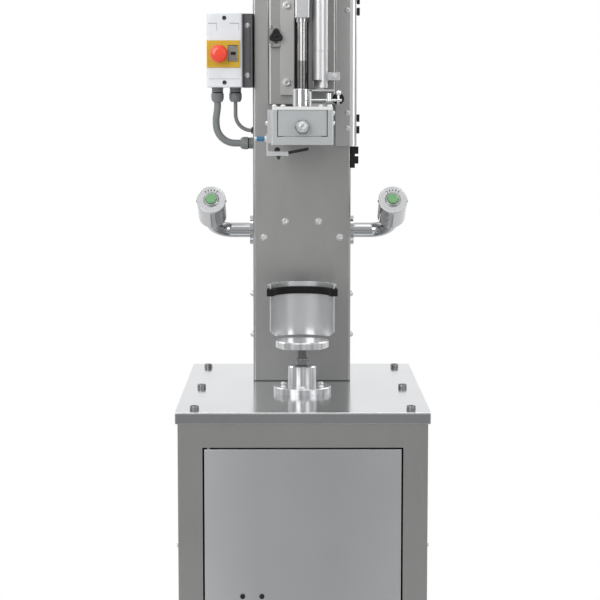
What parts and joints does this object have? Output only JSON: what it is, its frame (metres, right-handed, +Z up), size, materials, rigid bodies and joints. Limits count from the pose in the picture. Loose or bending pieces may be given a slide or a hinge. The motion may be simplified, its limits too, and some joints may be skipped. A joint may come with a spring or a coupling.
{
  "type": "corking machine",
  "caption": "Cabinet-mounted corking machine with lift platform, jaws, plunger, feed tube, two-hand controls and stop switch.",
  "frame": {"origin": "on the floor under the middle of the cabinet", "axes": "+Z up, -Y towards the operator, +X to the operator's right"},
  "size_m": [0.396, 0.55, 1.8],
  "materials": {
    "brushed_stainless": "brushed, fine vertical grain",
    "polished_stainless": "polished, bright",
    "satin_stainless": "satin, machined",
    "screw_steel": "plain stainless screws",
    "dark_steel": "blackened",
    "black_plastic": "moulded, matt",
    "black_rubber": "matt",
    "knob_chrome": "bright cap on a dark lobed base",
    "white_plastic": "moulded, semi-gloss",
    "yellow_plastic": "plain",
    "red_plastic": "moulded",
    "green_plastic": "moulded",
    "smoky_window": "smoky clear plastic",
    "blue_sensor": "blue barrel",
    "grey_plastic": "moulded",
    "frame_steel": "plain grey",
    "foot_steel": "plain"
  },
  "bodies": {
    "base": {"front_frame": "brushed_stainless", "back_panel": "brushed_stainless", "side_panels": "brushed_stainless", "base_plate": "brushed_stainless", "levelling_feet": "foot_steel", "top_cover": "brushed_stainless", "support_frame": "frame_steel", "power_pack": "frame_steel", "casing_screws": "screw_steel", "black_bolts": "dark_steel", "column": "brushed_stainless", "column_back_cover": "brushed_stainless", "lift_flange": "polished_stainless", "lift_cylinder": "satin_stainless", "cradle": "polished_stainless", "cradle_band": "black_rubber", "head_channel": "brushed_stainless", "guide_bar_left": "satin_stainless", "guide_channel": "dark_steel", "head_screws": "screw_steel", "jaw_housing": "satin_stainless", "jaw_front_panel": "satin_stainless", "jaw_top_plate": "polished_stainless", "fixed_jaw": "satin_stainless", "guide_bush": "polished_stainless", "press_cylinder": "satin_stainless", "chute_tube": "polished_stainless", "chute_clamps": "polished_stainless", "feed_plate": "satin_stainless", "feeler_bracket": "satin_stainless", "proximity_sensor": "blue_sensor", "side_duct": "brushed_stainless", "duct_blocks": "black_plastic", "control_arms": "polished_stainless", "pod_bezels": "black_plastic", "enclosure_base": "white_plastic", "enclosure_cover": "white_plastic", "enclosure_bracket": "dark_steel", "label_plate": "yellow_plastic", "cable_glands": "grey_plastic", "cables": "grey_plastic"},
    "door": {"access_door": "brushed_stainless", "door_buttons": "black_plastic"},
    "lift": {"lift_rod": "dark_steel", "lift_nut": "polished_stainless", "lift_platform": "polished_stainless"},
    "press": {"plunger": "polished_stainless", "crosshead": "satin_stainless", "press_rod": "polished_stainless"},
    "jaw": {"sliding_jaw": "satin_stainless"},
    "feed": {"feed_slide": "polished_stainless", "feed_roller": "black_plastic"},
    "feeler": {"feeler_arm": "dark_steel"},
    "clamp_knob": {"clamp_knob": "black_plastic"},
    "jaw_knob": {"jaw_knob": "knob_chrome"},
    "start_left": {"start_button_left": "green_plastic"},
    "start_right": {"start_button_right": "green_plastic"},
    "stop": {"stop_button": "red_plastic"},
    "window": {"window_flap": "smoky_window"},
    "toggle": {"power_toggle": "black_plastic"}
  },
  "joints": [
    {"name": "door_hinge", "type": "hinge", "parent": "base", "child": "door", "pos_m": [-0.14675, -0.265, 0.386], "axis": [0, 0, -1], "range_deg": [0, 105]},
    {"name": "lift_slide", "type": "slide", "parent": "base", "child": "lift", "axis": [0, 0, 1], "range_m": [0, 0.025]},
    {"name": "press_slide", "type": "slide", "parent": "base", "child": "press", "axis": [0, 0, -1], "range_m": [0, 0.1]},
    {"name": "jaw_slide", "type": "slide", "parent": "base", "child": "jaw", "axis": [0, -1, 0], "range_m": [0, 0.012]},
    {"name": "feed_slide_joint", "type": "slide", "parent": "base", "child": "feed", "axis": [-1, 0, 0], "range_m": [0, 0.024]},
    {"name": "feeler_hinge", "type": "hinge", "parent": "base", "child": "feeler", "pos_m": [-0.0268, -0.0745, 1.1145], "axis": [0, -1, 0], "range_deg": [0, 7], "stiffness_Nm_per_rad": 0.05, "springref_deg": -2.86},
    {"name": "clamp_knob_turn", "type": "hinge", "parent": "base", "child": "clamp_knob", "pos_m": [-0.043, -0.03, 1.3065], "axis": [0, -1, 0], "continuous": true},
    {"name": "jaw_knob_turn", "type": "hinge", "parent": "base", "child": "jaw_knob", "pos_m": [0, -0.12, 1.158], "axis": [0, -1, 0], "continuous": true},
    {"name": "start_left_push", "type": "slide", "parent": "base", "child": "start_left", "axis": [0, 0.8829, -0.4695], "range_m": [0, 0.003], "stiffness_N_per_m": 600, "springref_m": -0.001},
    {"name": "start_right_push", "type": "slide", "parent": "base", "child": "start_right", "axis": [0, 0.8829, -0.4695], "range_m": [0, 0.003], "stiffness_N_per_m": 600, "springref_m": -0.001},
    {"name": "stop_push", "type": "slide", "parent": "base", "child": "stop", "axis": [0, 1, 0], "range_m": [0, 0.004], "stiffness_N_per_m": 800, "springref_m": -0.001},
    {"name": "window_hinge", "type": "hinge", "parent": "base", "child": "window", "pos_m": [-0.1156, 0.028, 1.2927], "axis": [-1, 0, 0], "range_deg": [0, 110]},
    {"name": "toggle_tip", "type": "hinge", "parent": "base", "child": "toggle", "pos_m": [-0.1156, 0.0375, 1.28], "axis": [-1, 0, 0], "range_deg": [0, 30]}
  ]
}
